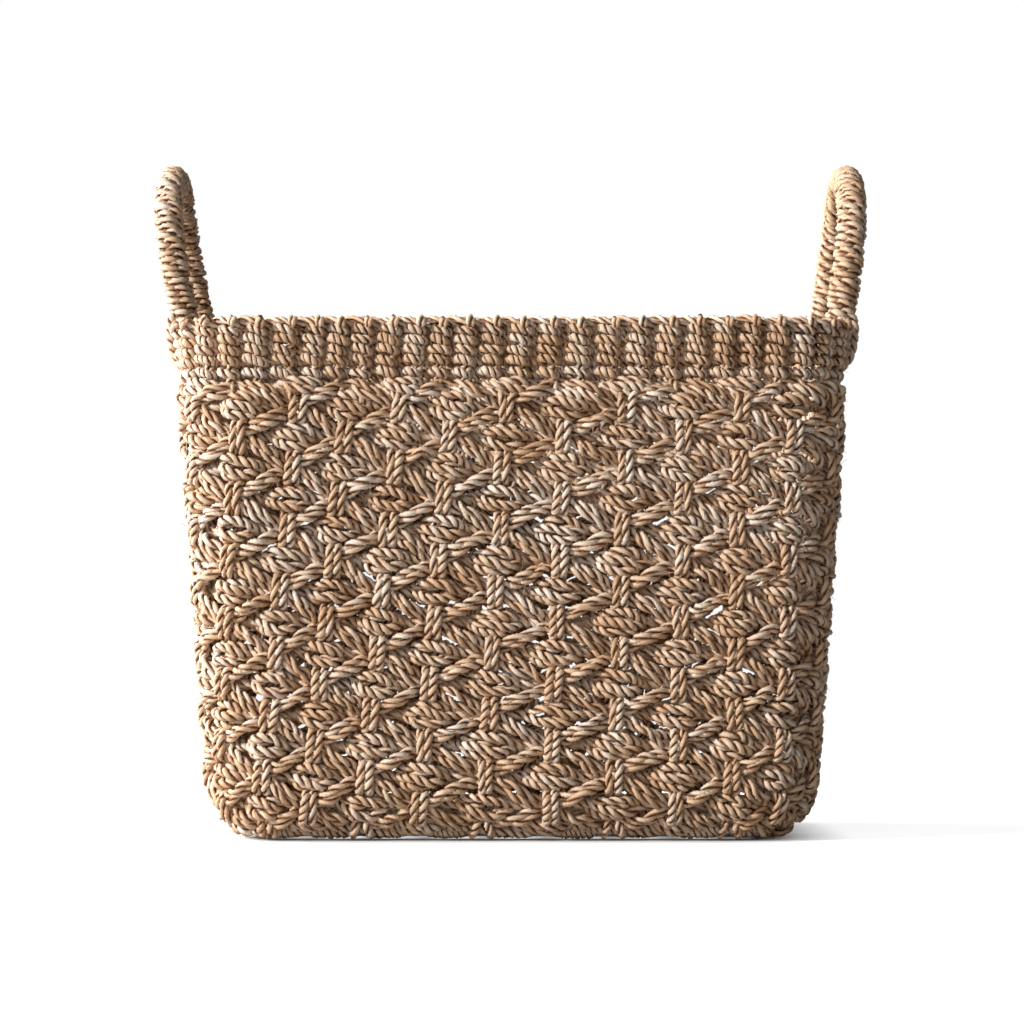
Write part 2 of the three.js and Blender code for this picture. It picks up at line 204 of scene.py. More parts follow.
CUT_SHARE = 0.25

# The base.
BASE_STEPS = 240
BASE_SETTLE_STEPS = 8
BASE_SWING = 0.005
FILLER_SPACING = 0.0052

# The handles.
LEG_HALF_SPACING = 0.06528
LEG_LENGTH = 0.02262
HANDLE_FOOT = 0.3273
HANDLE_LEANS = {"left": 0.0115, "right": 0.0085}
FOOT_OUT = 0.0030
CORE_RADIUS = 0.0045
CORE_TURN = 0.022
WRAP_RADIUS = 0.0065
WRAP_CORD_RADIUS = 0.0034
WRAP_PITCH = 0.0094
WRAP_DRIFT = 0.0004
WRAP_DRIFT_TURN_SHARE = 0.3
WINDING_TURN = 0.019
WRAP_OVERHANG = 0.0085
WRAP_STEPS = 1600
TAIL_SPACING = 0.0048
TAIL_PATH = ((0.0010, 0.3255), (0.0060, 0.3250), (0.0092, 0.3215), (0.0104, 0.3160), (0.0104, 0.3090),
             (0.0096, 0.3025), (0.0080, 0.2965), (0.0045, 0.2915), (0.0005, 0.2885))
TAIL_SLANT = 0.008
TAIL_TILT_SHARE = 0.01
TAIL_ROUNDINGS = 3

# Loose ends of fibre.
FIBRES = 800
FIBRE_STEPS = 6
FIBRE_SIDES = 3
FIBRE_RADIUS = 0.00013
FIBRE_LENGTHS = (0.004, 0.014)
FIBRE_ROOT = 0.0055
FIBRE_LIFTS = (0.0, 0.0055)
FIBRE_TRAVELS = (0.02, 0.312)

# The straw: its colours, and the shares of what changes them. Scales are in waves a metre, and the
# streaks' last two in waves round a ply.
DARK_STRAW = (0.29, 0.147, 0.072, 1)
STRAW = (0.61, 0.397, 0.238, 1)
PALE_STRAW = (0.79, 0.71, 0.615, 1)
# The crease colour is painted shade: a dark brown laid on the sides of the plies that face each other,
# where shade falls between them.
CREASE_SHADE_COLOUR = (0.24, 0.108, 0.046, 1)
RUST = (0.42, 0.19, 0.08, 1)
DARK_SHARE = 0.3
STRAW_SHARE = 0.6
PALE_SHARE = 0.92
CORD_TONE_SHARE = 0.22
STREAK_SHARE = 0.55
PATCH_SHARE = 0.55
STREAK_SCALES = (60, 3, 3)
STREAK_DETAIL = 3
PATCH_SCALE = 45
RUST_SCALE = 110
RUST_START_SHARE = 0.6
RUST_END_SHARE = 0.72
RUST_SHARE = 0.45
# Where the painted crease shade starts and where it is full, by how far a point of a ply faces out of
# its cord.
CREASE_SHADE_START_SHARE = 0.35
CREASE_SHADE_END_SHARE = -0.6
STRAW_ROUGHNESS = 0.56
STRAW_SPECULAR = 0.45
BUMP_STRENGTH = 0.5
BUMP_HEIGHT = 0.0004

# The stage, and each lamp's place and size in metres and its power in watts.
WHITE = (1, 1, 1, 1)
FLOOR_HALF_SIZE = 1.5
FLOOR_COLOUR = (0.6, 0.6, 0.6, 1)
FLOOR_GLOW = 0.86
# How far the floor's glow is dimmed by ambient occlusion near the basket, which paints a contact
# shadow.
CONTACT_SHADOW_REACH = 0.035
WORLD_LIGHT = 0.045
LAMPS = {
    "key_lamp": ((-7.4, -4.4, 3.7), 1.0, 1110),
    "fill_lamp": ((-0.8, -2.1, 0.8), 1.0, 9.5),
    "side_lamp": ((-1.35, 0.25, 0.6), 0.8, 36),
}

# What follows from these: the wall's middle surface, the first row and the handles' length.
MIDDLE_CORNER = CORNER_RADIUS - WALL_HALF
MIDDLE_EDGE = EDGE_RADIUS - WALL_HALF
EDGE_REACH = MIDDLE_CORNER - MIDDLE_EDGE
QUARTER = MIDDLE_CORNER * math.pi / 2
ARC_LENGTH = MIDDLE_EDGE * math.pi / 2
EDGE_ROW_SHARE = math.sqrt(3) / 2
FIRST_ROW = ARC_LENGTH - MIDDLE_EDGE * (1 - EDGE_ROW_SHARE) - ROW_PITCH / 2
ARCH_LENGTH = math.pi * LEG_HALF_SPACING
HANDLE_LENGTH = ARCH_LENGTH + 2 * LEG_LENGTH

rng = np.random.default_rng(11)


def mix(first, second, share):
    return first + (second - first) * share


def limited(share):
    """A share kept between 0 and 1."""
    return np.clip(share, 0, 1)


def unit(vectors):
    """The same directions with a length of one."""
    return vectors / np.maximum(np.linalg.norm(vectors, axis=-1, keepdims=True), LEAST_LENGTH)


# The woven surface


def profile(travel):
    """Reach, height and outward normal on the middle surface, by the travel from the base's flat."""
    travel = np.asarray(travel, float)
    angle = np.clip(travel / MIDDLE_EDGE, 0, math.pi / 2)
    reach = EDGE_REACH + MIDDLE_EDGE * np.sin(angle) + np.minimum(travel, 0)
    height = EDGE_RADIUS - MIDDLE_EDGE * np.cos(angle) + np.maximum(travel - ARC_LENGTH, 0)
    return reach, height, np.sin(angle), -np.cos(angle)


def travel_at(height):
    """The travel at a height on the straight part of the wall."""
    return height + ARC_LENGTH - EDGE_RADIUS


def half_sizes(height):
    """Half sizes of the middle surface's straight parts at a height."""
    rise = height / RIM_BAND_TOP
    length = mix(BASE_HALF_LENGTH, RIM_HALF_LENGTH, rise) - CORNER_RADIUS
    depth = mix(BASE_HALF_DEPTH, RIM_HALF_DEPTH, rise) - CORNER_RADIUS
    return length, depth


def whole_girth(length, depth):
    """The way round the middle surface, from the half sizes of its straight parts."""
    return 4 * (length + depth) + 4 * QUARTER


def column_girths(front_px, height):
    """Places of all the columns round the basket at a height, from the front's middle."""
    whole = whole_girth(*half_sizes(height))
    front = (np.array(front_px) - PHOTO_MIDDLE_PX) * METRES_PER_PX
    rest = np.linspace(front[-1], front[0] + whole, COLUMNS - LONG_SIDE_STAKES + 2)[1:-1]
    places = np.concatenate([front, rest])
    return np.concatenate([places - whole, places, places + whole])


COLUMN_NUMBERS = np.arange(-COLUMNS, 2 * COLUMNS)
RIM_GIRTHS = column_girths(RIM_COLUMNS_PX, RIM_COLUMNS_HEIGHT)
BASE_GIRTHS = column_girths(BASE_COLUMNS_PX, BASE_COLUMNS_HEIGHT)


def girth_at(column, height):
    """The place round the basket of a column number, which may be between two columns."""
    share = (RIM_COLUMNS_HEIGHT - height) / (RIM_COLUMNS_HEIGHT - BASE_COLUMNS_HEIGHT)
    at_rim = np.interp(column, COLUMN_NUMBERS, RIM_GIRTHS)
    at_base = np.interp(column, COLUMN_NUMBERS, BASE_GIRTHS)
    return mix(at_rim, at_base, share)


def footing(column, height, aside):
    """The place on the inner rectangle that a column stands off from, and the way the wall faces."""
    length, depth = half_sizes(height)
    girth = girth_at(column, height) + aside
    girth = np.mod(girth + length, whole_girth(length, depth)) - length
    turn = np.full_like(length, QUARTER)
    ends = np.cumsum([length, turn, 2 * depth, turn, 2 * length, turn, 2 * depth], axis=0)
    right_start, back_start, left_start = ends[1::2]
    x = np.clip(girth, -length, length) - np.clip(girth - back_start, 0, 2 * length)
    y = -depth + np.clip(girth - right_start, 0, 2 * depth) - np.clip(girth - left_start, 0, 2 * depth)
    round_corners = sum(np.clip(girth - end, 0, QUARTER) for end in ends[::2])
    return x, y, round_corners / MIDDLE_CORNER - math.pi / 2


def wall(column, travel, offset, aside=0):
    """Points of the woven wall and their outward normals."""
    reach, height, outward, upward = profile(travel)
    x, y, facing = footing(column, height, aside)
    across = reach + offset * outward
    points = (x + across * np.cos(facing), y + across * np.sin(facing), height + offset * upward)
    normals = (outward * np.cos(facing), outward * np.sin(facing), upward + 0 * facing)
    return np.stack(points, axis=-1), np.stack(normals, axis=-1)


# Twisted cords


def squared(directions, tangent):
    """Unit directions made square to a path's tangents."""
    return unit(directions - (directions * tangent).sum(axis=1, keepdims=True) * tangent)


def resample(path, spacing, closed):
    """Even steps along a path, whose columns are a point, a normal and the twist's share."""
    if closed:
        path = np.concatenate([path, path[:1]])
    lengths = np.linalg.norm(np.diff(path[:, :3], axis=0), axis=1)
    travelled = np.concatenate([[0], np.cumsum(lengths)])
    count = max(LEAST_STEPS, round(travelled[-1] / spacing))
    targets = np.linspace(0, travelled[-1], count, endpoint=not closed)
    columns = [np.interp(targets, travelled, column) for column in path.T]
    return np.stack(columns, axis=1), targets, travelled[-1]


def rounded(points, times):
    """The same path with its corners cut."""
    for _ in range(times):
        ahead = mix(points[:-1], points[1:], CUT_SHARE)
        behind = mix(points[:-1], points[1:], 1 - CUT_SHARE)
        cut = np.stack([ahead, behind], axis=1).reshape(-1, 3)
        points = np.concatenate([points[:1], cut, points[-1:]])
    return points


def cord_frame(centre, out, closed):
    """Unit directions out of the wall and aside, both square to a cord's path."""
    if closed:
        tangent = unit(np.roll(centre, -1, axis=0) - np.roll(centre, 1, axis=0))
    else:
        tangent = unit(np.gradient(centre, axis=0))
    up = squared(out, tangent)
    return up, np.cross(tangent, up)


def turned(up, side, angle):
    """Two square directions, both turned by an angle."""
    cosine = np.cos(angle)[:, None]
    sine = np.sin(angle)[:, None]
    return cosine * up + sine * side, cosine * side - sine * up


def spin_along(length, rate, turn, phase, closed):
    """The angle of a cord's plies along its path, in whole turns where the cord is a ring."""
    turns = length / turn * rate.mean()
    if closed:
        turns = round(turns)
    return phase + 2 * math.pi * turns * (np.cumsum(rate) - rate[0]) / rate.sum()


def end_taper(travel, length, radius, closed):
    """The share of its thickness that a ply has along its cord, which is less at open ends."""
    if closed:
        return 1
    return limited(np.minimum(travel, length - travel) / radius + END_RADIUS_SHARE)


def angles_round(sides):
    """The angles of a ring's points."""
    return 2 * math.pi * np.arange(sides) / sides


def oval_rings(middle, radial, tangential, thick, wide):
    """Oval rings round the points of a ply's middle line."""
    around = angles_round(PLY_SIDES)
    return (middle[:, None, :]
            + (thick[:, None] * np.cos(around))[:, :, None] * radial[:, None, :]
            + (wide[:, None] * np.sin(around))[:, :, None] * tangential[:, None, :])


def add_object(name, data):
    """A new object in the scene."""
    added = bpy.data.objects.new(name, data)
    bpy.context.scene.collection.objects.link(added)
    return added


def add_attribute(mesh, name, kind, field, values):
    """A named value at every point of a mesh."""
    attribute = mesh.attributes.new(name, kind, "POINT")
    attribute.data.foreach_set(field, np.concatenate(values).astype(np.float32).ravel())


class Strands:
    """Gathers the plies of many cords into the arrays of one mesh."""

    def __init__(self):
        self.points = []
        self.quads = []
        self.caps = []
        self.fibres = []
        self.tones = []
        self.count = 0

    def add_ply(self, rings, along, around, tone, closed):
        """rings: steps x sides x 3. Neighbouring rings are joined, and open ends are capped."""
        steps, sides = rings.shape[:2]
        along, around = np.meshgrid(along, around, indexing="ij")
        ids = self.count + np.arange(steps * sides).reshape(steps, sides)
        ahead = np.roll(ids, -1, axis=0)
        if not closed:
            self.caps.append(ids[0])
            self.caps.append(ids[-1][::-1])
            ids = ids[:-1]
            ahead = ahead[:-1]
        quads = np.stack([ids, ahead, np.roll(ahead, -1, axis=1), np.roll(ids, -1, axis=1)], axis=-1)
        self.points.append(rings.reshape(-1, 3))
        self.quads.append(quads.reshape(-1, 4))
        # Along each ply, and the cosine and sine of the way round it. The cosine is highest on the
        # outside of the cord and sets the painted crease shade in the material.
        self.fibres.append(np.stack([along, np.cos(around), np.sin(around)], axis=-1).reshape(-1, 3))
        self.tones.append(np.full(steps * sides, tone))
        self.count += steps * sides

    def add_cord(self, points, normals, closed=False, radius=CORD_RADIUS, turn=CORD_TURN, twist=1,
                 phases=(0, 2 * math.pi)):
        """A two-ply cord along a path, laid right-handed as the photographed one is."""
        radius = radius * rng.uniform(*CORD_SPREAD_SHARES)
        turn = turn * rng.uniform(*TURN_SPREAD_SHARES)
        share = np.broadcast_to(np.asarray(twist, float), len(points))[:, None]
        path = np.concatenate([points, normals, share], axis=1)
        path, travel, length = resample(path, turn / STEPS_PER_TURN, closed)
        centre, out, rate = path[:, :3], path[:, 3:6], path[:, 6]
        up, side = cord_frame(centre, out, closed)
        rate = rate * (1 + TWIST_DRIFT_SHARE * np.sin(travel * rng.uniform(*SWELL_WAVES)))
        phase = rng.uniform(*phases)
        spin = spin_along(length, rate, turn, phase, closed)
        swell = 1 + SWELL_SHARE * np.sin(travel * rng.uniform(*SWELL_WAVES) + phase)
        taper = end_taper(travel, length, radius, closed)
        tone = rng.uniform(0, 1)
        helix = radius * PLY_HELIX_SHARE
        slant = np.hypot(1, 2 * math.pi * helix / turn * rate)
        for ply in range(PLIES):
            radial, tangential = turned(up, side, spin + 2 * math.pi * ply / PLIES)
            thick = radius * PLY_RADIUS_SHARE * swell * rng.uniform(*PLY_SPREAD_SHARES) * taper
            wide = thick * slant * PLY_WIDTH_SHARE
            rings = oval_rings(centre + helix * radial, radial, tangential, thick, wide)
            along = travel + rng.uniform(0, STREAK_SHIFT)
            ply_tone = limited(tone + rng.uniform(-PLY_TONE_SHARE, PLY_TONE_SHARE))
            self.add_ply(rings, along, angles_round(PLY_SIDES), ply_tone, closed)

    def make(self, name, material):
        """One Blender object from all the plies gathered so far."""
        mesh = bpy.data.meshes.new(name)
        quads = np.concatenate(self.quads)
        cap_sides = [len(cap) for cap in self.caps]
        loops = np.concatenate([quads.ravel(), *self.caps])
        cap_starts = quads.size + np.cumsum([0] + cap_sides)[:-1]
        starts = np.concatenate([np.arange(0, quads.size, quads.shape[1]), cap_starts])
        mesh.vertices.add(self.count)
        mesh.vertices.foreach_set("co", np.concatenate(self.points).astype(np.float32).ravel())
        mesh.loops.add(len(loops))
        mesh.loops.foreach_set("vertex_index", loops.astype(np.int32))
        mesh.polygons.add(len(starts))
        mesh.polygons.foreach_set("loop_start", starts.astype(np.int32))
        mesh.polygons.foreach_set("use_smooth", np.ones(len(starts), bool))
        mesh.update(calc_edges=True)
        add_attribute(mesh, "fibre", "FLOAT_VECTOR", "vector", self.fibres)
        add_attribute(mesh, "tone", "FLOAT", "value", self.tones)
        mesh.materials.append(material)
        return add_object(name, mesh)


def place_piece(strands, name, material, node):
    """Makes a woven piece of the basket, which takes the place of a CAD node."""
    piece = strands.make(name, material)
    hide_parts(node)
    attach(piece, "basket")


def bend_piece(strands, name, material, node):
    """Makes a piece of a handle, which takes the place of a CAD node, with its transform baked into its
    points.
    """
    piece = strands.make(name, material)
    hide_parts(node)
    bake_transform(piece)


# The woven rows


def wander(column, size):
    """A smooth random drift round the basket."""
    total = 0
    for waves in DRIFT_WAVES:
        total = total + np.sin(2 * math.pi * waves * column / COLUMNS + rng.uniform(0, 2 * math.pi))
    return size * total / math.sqrt(len(DRIFT_WAVES))


def ring_columns():
    """Fine steps in column numbers, once round the basket."""
    return np.linspace(0, COLUMNS, COLUMNS * STEPS_PER_COLUMN, endpoint=False)


def row_travel(row):
    """The travel of a body row, with the rows past the first and last drawn in."""
    inner = min(max(row, 0), BODY_ROWS - 1)
    return FIRST_ROW + ROW_PITCH * inner + END_ROW_SHARE * ROW_PITCH * (row - inner)


def add_floats(strands, row, share=1, drop=0):
    """A twisted bundle of weft cords that bulges out between the stitches and dips behind them."""
    column = ring_columns()
    floating = limited(FLOAT_SHARE - FLOAT_SHARPNESS * np.cos(math.pi * (column + row)))
    half_height = share * mix(NECK_HALF_HEIGHT, FLOAT_HALF_HEIGHT, floating)
    half_depth = mix(NECK_HALF_DEPTH, FLOAT_HALF_DEPTH, floating)
    phase = rng.uniform(0, 2 * math.pi)
    for cord in range(BUNDLE_CORDS):
        angle = phase + 2 * math.pi * (cord / BUNDLE_CORDS - BUNDLE_TURNS * column / COLUMNS)
        travel = row_travel(row) - drop + half_height * np.sin(angle) + wander(column, CORD_DRIFT)
        offset = mix(NECK_OFFSET, FLOAT_OFFSET, floating) + half_depth * np.cos(angle)
        points, normals = wall(column, travel, offset + wander(column, CORD_DRIFT))
        strands.add_cord(points, normals, closed=True)


def zigzag_middle(column, row):
    """The middle line of a zigzag, whose corners at the stitches are smoothed."""
    low = row_travel(row)
    high = row_travel(row + 1)
    corners = (STITCH_SHARE, 1 - STITCH_SHARE, 1 + STITCH_SHARE, 2 - STITCH_SHARE)
    heights = (low + RISE_START, high - RISE_END, high - FALL_START, low + FALL_END)
    shifts = np.linspace(-CORNER_SMOOTHING_SHARE / 2, CORNER_SMOOTHING_SHARE / 2, CORNER_SAMPLES)
    places = [np.mod(column + row + shift, 2) for shift in shifts]
    return sum(np.interp(place, corners, heights, period=2) for place in places) / CORNER_SAMPLES


def arm_bulge(slope):
    """The share of its bulge that an arm has between its stitches, from its slope there."""
    return limited(1 - ARM_SHARPNESS * (1 - np.abs(slope)))


def add_zigzag(strands, row):
    """Two cords that climb from a row's stitches to those of the next row, and back down."""
    column = ring_columns()
    middle = zigzag_middle(column, row)
    slope = np.sin(math.pi * (column + row))
    between = arm_bulge(slope)
    bulge = arm_bulge(np.sin(math.pi * (column + row + ARM_LEAN_SHARE)))
    spacing = mix(FALLING_SPACING, RISING_SPACING, limited(0.5 + slope))
    twist = 1 - RISING_UNTWIST_SHARE * limited(slope) - FALLING_UNTWIST_SHARE * limited(-slope)
    lay = wander(column, ARM_LAY)
    for side in (-1, 1):
        apart = side * mix(ARM_NECK, spacing, between) / 2
        travel = middle + apart * np.cos(lay) + wander(column, CORD_DRIFT)
        offset = mix(ARM_TUCK_OFFSET, ARM_OFFSET, bulge) + side * ARM_DEPTH * np.sin(lay)
        points, normals = wall(column, travel, offset + wander(column, CORD_DRIFT))
        strands.add_cord(points, normals, closed=True, radius=ARM_RADIUS, twist=twist)


def add_twine(strands, travel, period, depth, lift, offset, dip=0, radius=TWINE_RADIUS,
              turn=TWINE_TURN):
    """Two strands that twist round each other, which change places in each period."""
    column = ring_columns()
    slipped = column + TWINE_SHIFT_SHARE + wander(column, TWINE_SLIP_SHARE)
    for phase in (0, 1):
        angle = math.pi * (slipped / period + phase + 0.5)
        drift = wander(column, TWINE_DRIFT)
        facing = np.cos(angle)
        passing = np.sign(facing) * limited((np.abs(facing) - TWINE_GAP_SHARE) / TWINE_RISE_SHARE)
        out = offset + depth * passing - dip * (1 - passing ** 2)
        points, normals = wall(column, travel - lift * np.sin(angle) + drift, out - np.abs(drift))
        strands.add_cord(points, normals, closed=True, radius=radius, turn=turn)


def make_body_rows(material):
    """The woven rows. The first and last rows also carry what fills the gap beyond them."""
    for row in range(BODY_ROWS):
        strands = Strands()
        add_floats(strands, row)
        add_zigzag(strands, row)
        if row == 0:
            add_zigzag(strands, -1)
            add_floats(strands, -1, EDGE_FLOAT_SHARE)
        if row == BODY_ROWS - 1:
            add_floats(strands, BODY_ROWS, TOP_FLOAT_SHARE, TOP_FLOAT_DROP)
        place_piece(strands, f"woven_row_{row + 1}", material, f"body_weft_row_{row + 1}")


def make_rim(material):
    """The close twined rows of the rim band, and the border that the stake tips fold over."""
    for row, (height, offset) in enumerate(zip(RIM_ROW_HEIGHTS, RIM_ROW_OFFSETS), start=1):
        strands = Strands()
        add_twine(strands, travel_at(height), RIM_PERIOD_SHARE, TWINE_DEPTH, TWINE_LIFT, offset,
                  dip=TWINE_DIP)
        place_piece(strands, f"twined_row_{row}", material, f"rim_twined_row_{row}")
    strands = Strands()
    add_twine(strands, travel_at(BORDER_HEIGHT), RIM_PERIOD_SHARE, BORDER_DEPTH, TWINE_LIFT,
              BORDER_OFFSET, dip=BORDER_DIP, radius=BORDER_RADIUS, turn=BORDER_TURN)
    place_piece(strands, "border_cords", material, "border_rope")


def make_base_edge(material):
    """The twined rings that close the edge where the wall turns under."""
    strands = Strands()
    for travel in BASE_EDGE_TRAVELS:
        add_twine(strands, travel, EDGE_PERIOD_SHARE, BASE_EDGE_DEPTH, BASE_EDGE_LIFT, BASE_EDGE_OFFSET)
    place_piece(strands, "base_edge_cords", material, "base_edge_row")


# The stakes and the base


def stake_body(column, side):
    """One stake cord on the wall, from the rim band's top down to the edge of the base."""
    travel = np.arange(travel_at(RIM_ROW_HEIGHTS[-1]), 0, -STAKE_STEP)
    rows = (travel - FIRST_ROW) / ROW_PITCH
    stitch = limited(0.5 + STITCH_SHARPNESS * np.cos(math.pi * (rows + column)))
    split = limited((travel - row_travel(BODY_ROWS - 1) - SPLIT_START) / SPLIT_LENGTH)
    offset = mix(mix(STAKE_BACK_OFFSET, STAKE_FRONT_OFFSET, stitch), 0, split)
    offset = mix(offset, 0, limited(1 - travel / BASE_EDGE_TRAVELS[-1]))
    spread = limited((SPREAD_START - travel) / SPREAD_LENGTH) * limited(travel / SPREAD_LENGTH)
    aside = side * mix(STAKE_SPACING / 2, RIM_SPACING / 2, split)
    aside = aside + side * (BASE_SPACING - STAKE_SPACING) * spread
    sway = rng.uniform(*SWAY_WAVES, 2)
    swing = np.sin(sway[0] * travel + column) + np.sin(sway[1] * travel + 2 * column)
    return wall(column, travel, offset, aside + STAKE_WANDER * swing)


def stake_tip(column, side):
    """The end of a stake cord, folded out and down over the border."""
    height, offset = np.array(STAKE_TIP[::-1]).T
    height = height + rng.uniform(-TIP_DRIFT, TIP_DRIFT)
    return wall(column, travel_at(height), offset, side * RIM_SPACING / 2)


def stake_half(column, side):
    """The path and normals of one stake cord from its tip down to the edge of the base."""
    points, normals = stake_body(column, side)
    tip, tip_normals = stake_tip(column, side)
    path = rounded(np.concatenate([tip, points]), STAKE_ROUNDINGS)
    return path, rounded(np.concatenate([tip_normals, normals]), STAKE_ROUNDINGS)


def add_stake(strands, points, normals):
    """One stake cord, whose tips lie nearly straight."""
    straight = limited((points[:, 2] - TIP_FOOT) / TIP_REACH)
    strands.add_cord(points, normals, radius=STAKE_RADIUS, turn=STAKE_TURN,
                     twist=1 - TIP_UNTWIST_SHARE * straight, phases=TIP_PHASES)


def under_normals():
    """The normals of a path across the base, which face the floor."""
    return np.tile((0.0, 0.0, -1.0), (BASE_STEPS, 1))


def base_wave(x, parity):
    """How far a base cord rises over the front-to-back stakes or dips under them."""
    crossings = [wall(column, 0, 0)[0][0] for column in range(LONG_SIDE_STAKES)]
    number = np.interp(x, crossings, range(LONG_SIDE_STAKES))
    return BASE_SWING * np.cos(math.pi * (number + parity))


def base_path(start, end, woven):
    """A straight path across the base, which may weave over and under the cords it crosses."""
    share = np.linspace(0, 1, BASE_STEPS + 2)[1:-1, None]
    across = mix(start, end, share)
    if not woven:
        across[:, 2] = WALL_HALF
        return across
    settled = np.minimum(1, np.minimum(share, 1 - share)[:, 0] * BASE_STEPS / BASE_SETTLE_STEPS)
    across[:, 2] = mix(across[:, 2], WALL_HALF + base_wave(across[:, 0], 0), settled)
    return across


def stake_through(strands, first, last, woven):
    """A stake pair down one wall, across the base and up the opposite wall."""
    for side in (-1, 1):
        down, down_normals = stake_half(first, side)
        up, up_normals = stake_half(last, -side)
        across = base_path(down[-1], up[-1], woven)
        points = np.concatenate([down, across, up[::-1]])
        add_stake(strands, points, np.concatenate([down_normals, under_normals(), up_normals[::-1]]))


def make_stakes(material):
    """The stake pairs: from front to back, from end to end, and up the corners only."""
    for column in range(LONG_SIDE_STAKES):
        strands = Strands()
        stake_through(strands, column, BACK_LAST_COLUMN - column, woven=False)
        name = f"front_to_back_{column + 1}"
        place_piece(strands, name, material, f"front_to_back_stakes_{column + 1}")
    for number in range(SHORT_SIDE_STAKES):
        strands = Strands()
        stake_through(strands, LEFT_LAST_COLUMN - number, RIGHT_FIRST_COLUMN + number, woven=True)
        name = f"end_to_end_{number + 1}"
        place_piece(strands, name, material, f"end_to_end_stakes_{number + 1}")
    for corner, column in CORNER_COLUMNS.items():
        strands = Strands()
        for side in (-1, 1):
            add_stake(strands, *stake_half(column, side))
        place_piece(strands, f"corner_{corner}", material, f"corner_stakes_{corner}")


def make_base(material):
    """Three filler cords side by side between every two end-to-end pairs."""
    left = [wall(LEFT_LAST_COLUMN - number, 0, 0)[0] for number in range(SHORT_SIDE_STAKES)]
    right = [wall(RIGHT_FIRST_COLUMN + number, 0, 0)[0] for number in range(SHORT_SIDE_STAKES)]
    share = np.linspace(0, 1, BASE_STEPS)[:, None]
    for number in range(SHORT_SIDE_STAKES - 1):
        strands = Strands()
        start = mix(left[number], left[number + 1], 0.5)
        end = mix(right[number], right[number + 1], 0.5)
        for place in (-1, 0, 1):
            points = mix(start, end, share) + np.array((0, place * FILLER_SPACING, 0))
            points[:, 2] = WALL_HALF + base_wave(points[:, 0], 1)
            strands.add_cord(points, under_normals())
        node = f"base_filler_{number + 1}"
        place_piece(strands, f"base_cords_{number + 1}", material, node)


# The handles


def handle_frame(side, lean, travel):
    """Points of a handle's middle line, the directions out of its plane and in it, and its tangents."""
    angle = np.clip((travel - LEG_LENGTH) / LEG_HALF_SPACING, 0, math.pi)
    y = -LEG_HALF_SPACING * np.cos(angle)
    beyond = np.minimum(travel, LEG_LENGTH) - np.maximum(travel - LEG_LENGTH - ARCH_LENGTH, 0)
    rise = LEG_HALF_SPACING * np.sin(angle) + beyond
    bow = np.sin(rise / (LEG_LENGTH + LEG_HALF_SPACING) * math.pi / 2)
    x = side * (half_sizes(RIM_BAND_TOP)[0] + MIDDLE_CORNER + FOOT_OUT + lean * bow)
    points = np.stack([x, y, HANDLE_FOOT + rise], axis=-1)
    tangent = unit(np.gradient(points, axis=0))
    outward = squared(np.tile((float(side), 0.0, 0.0), (len(points), 1)), tangent)
    return points, outward, np.cross(tangent, outward), tangent


def add_winding(strands, start, travel, centre, outward, in_plane, tangent):
    """One cord wound round a handle's core, with small slips along it."""
    angle = start + 2 * math.pi * travel / WRAP_PITCH
    radial, _ = turned(outward, in_plane, angle)
    waves = travel * rng.uniform(*SWELL_WAVES, (2, 1)) + angle * WRAP_DRIFT_TURN_SHARE
    slip = WRAP_DRIFT * np.sin(waves).sum(axis=0)
    points = centre + WRAP_RADIUS * radial + slip[:, None] * tangent
    strands.add_cord(points, radial, radius=WRAP_CORD_RADIUS, turn=WINDING_TURN)


def add_tail(strands, side, leg_side):
    """A pair of cords with opposite twists, over the border and down the rim band."""
    reach, height = np.array(TAIL_PATH).T
    x = side * (half_sizes(height)[0] + MIDDLE_CORNER + reach)
    slant = leg_side * TAIL_SLANT * np.linspace(0, 1, len(x))
    for place in (-1, 1):
        y = leg_side * LEG_HALF_SPACING + slant + place * TAIL_SPACING / 2
        points = rounded(np.stack([x, y, height], axis=-1), TAIL_ROUNDINGS)
        normals = np.tile((float(side), 0.0, TAIL_TILT_SHARE), (len(points), 1))
        strands.add_cord(points, normals, twist=float(place))


def make_handle(name, side, material):
    """A rope core wound with two cords, and the cord tails that hold it at the rim."""
    travel = np.linspace(-WRAP_OVERHANG, HANDLE_LENGTH + WRAP_OVERHANG, WRAP_STEPS)
    centre, outward, in_plane, tangent = handle_frame(side, HANDLE_LEANS[name], travel)
    core = Strands()
    core.add_cord(centre, outward, radius=CORE_RADIUS, turn=CORE_TURN)
    bend_piece(core, f"handle_rope_{name}", material, f"handle_core_{name}")
    winding = Strands()
    for start in (0, math.pi):
        add_winding(winding, start, travel, centre, outward, in_plane, tangent)
    bend_piece(winding, f"handle_winding_{name}", material, f"handle_wrap_{name}")
    for leg, leg_side in (("front", -1), ("back", 1)):
        tail = Strands()
        add_tail(tail, side, leg_side)
        node = f"handle_anchor_{name}_{leg}"
        place_piece(tail, f"handle_tail_{name}_{leg}", material, node)


# The loose fibres


def fibre_paths():
    """Short paths that lift off the wall in all directions, and their normals."""
    ranges = ((0, COLUMNS), FIBRE_TRAVELS, FIBRE_LENGTHS, FIBRE_LIFTS, (0, 2 * math.pi))
    column, travel, length, lift, heading = (
        rng.uniform(low, high, FIBRES)[:, None] for low, high in ranges)
    share = np.linspace(0, 1, FIBRE_STEPS)
    run = length * share
    offset = FIBRE_ROOT + lift * share ** 2
    return wall(column + 0 * run, travel + run * np.sin(heading), offset, run * np.cos(heading))


